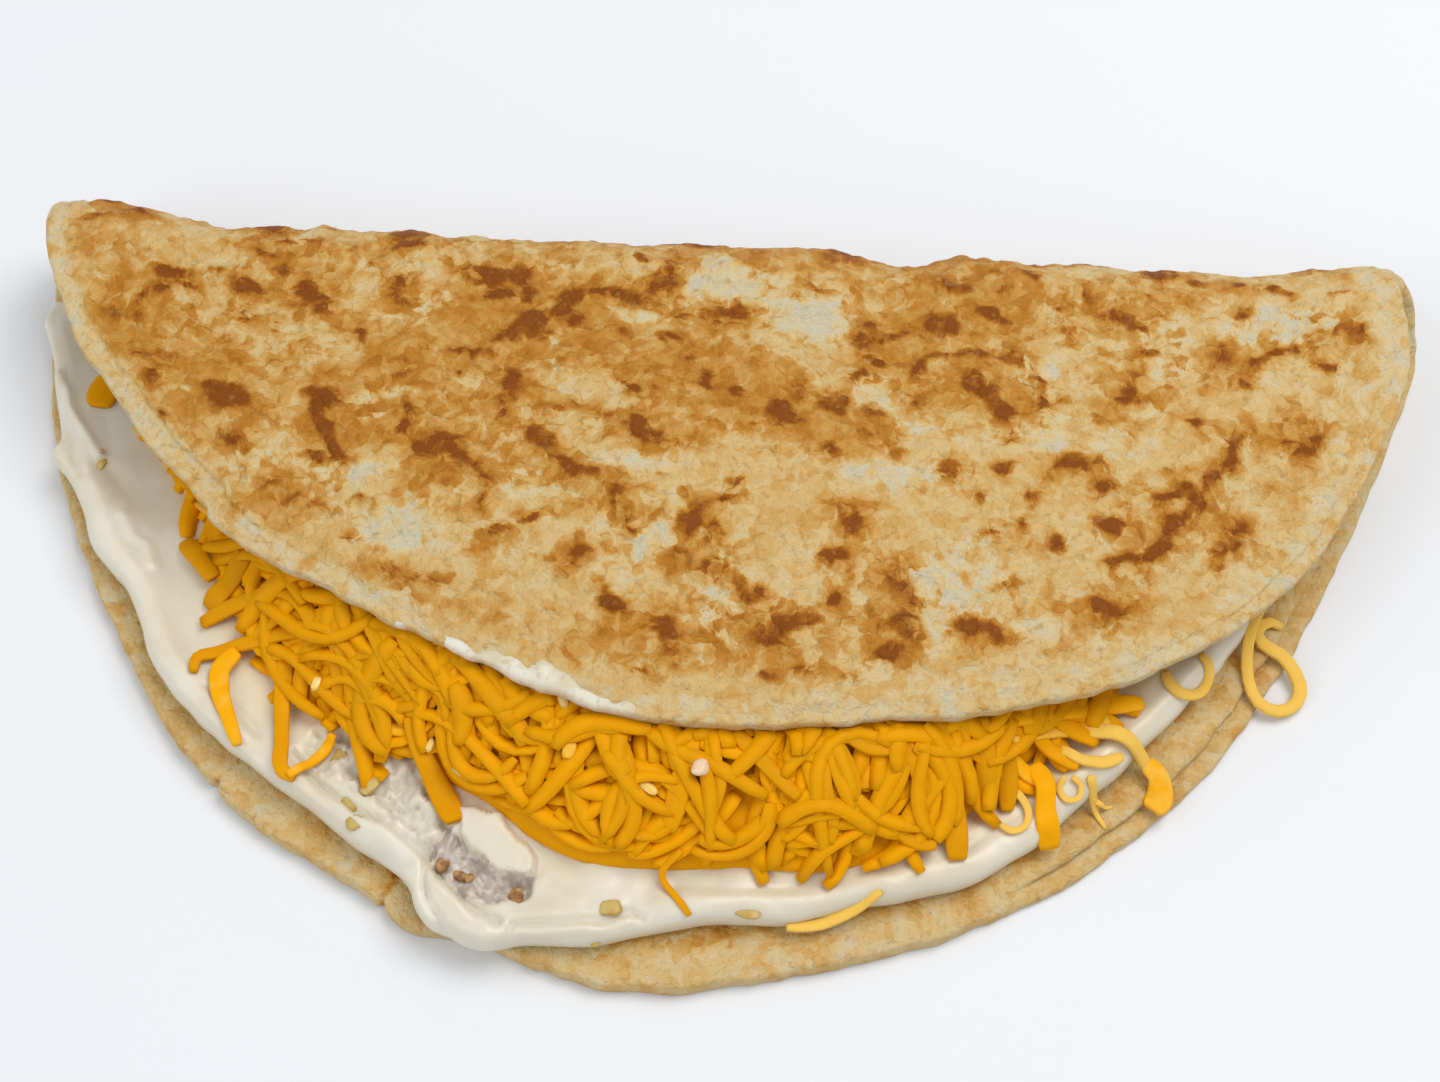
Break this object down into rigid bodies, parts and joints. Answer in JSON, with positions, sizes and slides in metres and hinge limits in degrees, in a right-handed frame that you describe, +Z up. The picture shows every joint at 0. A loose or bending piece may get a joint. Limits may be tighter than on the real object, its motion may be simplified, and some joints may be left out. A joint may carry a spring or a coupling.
{
  "type": "cheese chapati",
  "caption": "Round flaky flatbread folded in half over a layer of cream cheese and a heap of grated cheddar, lying flat on its lower half.",
  "frame": {"origin": "middle of the bounding box on the plane that the lower half lies on", "axes": "+X along the fold, +Y towards the fold, +Z up; the open side with the filling faces -Y"},
  "size_m": [0.2136, 0.1187, 0.0268],
  "materials": {
    "bread": "matt pale golden flaky crust with brown toasted marks",
    "cream": "soft off-white cream cheese with a satin sheen",
    "cheddar": "orange-yellow grated cheddar, slightly moist"
  },
  "bodies": {
    "root": {"chapati": "bread", "cream_cheese": "cream", "grated_cheddar": "cheddar"}
  },
  "joints": []
}
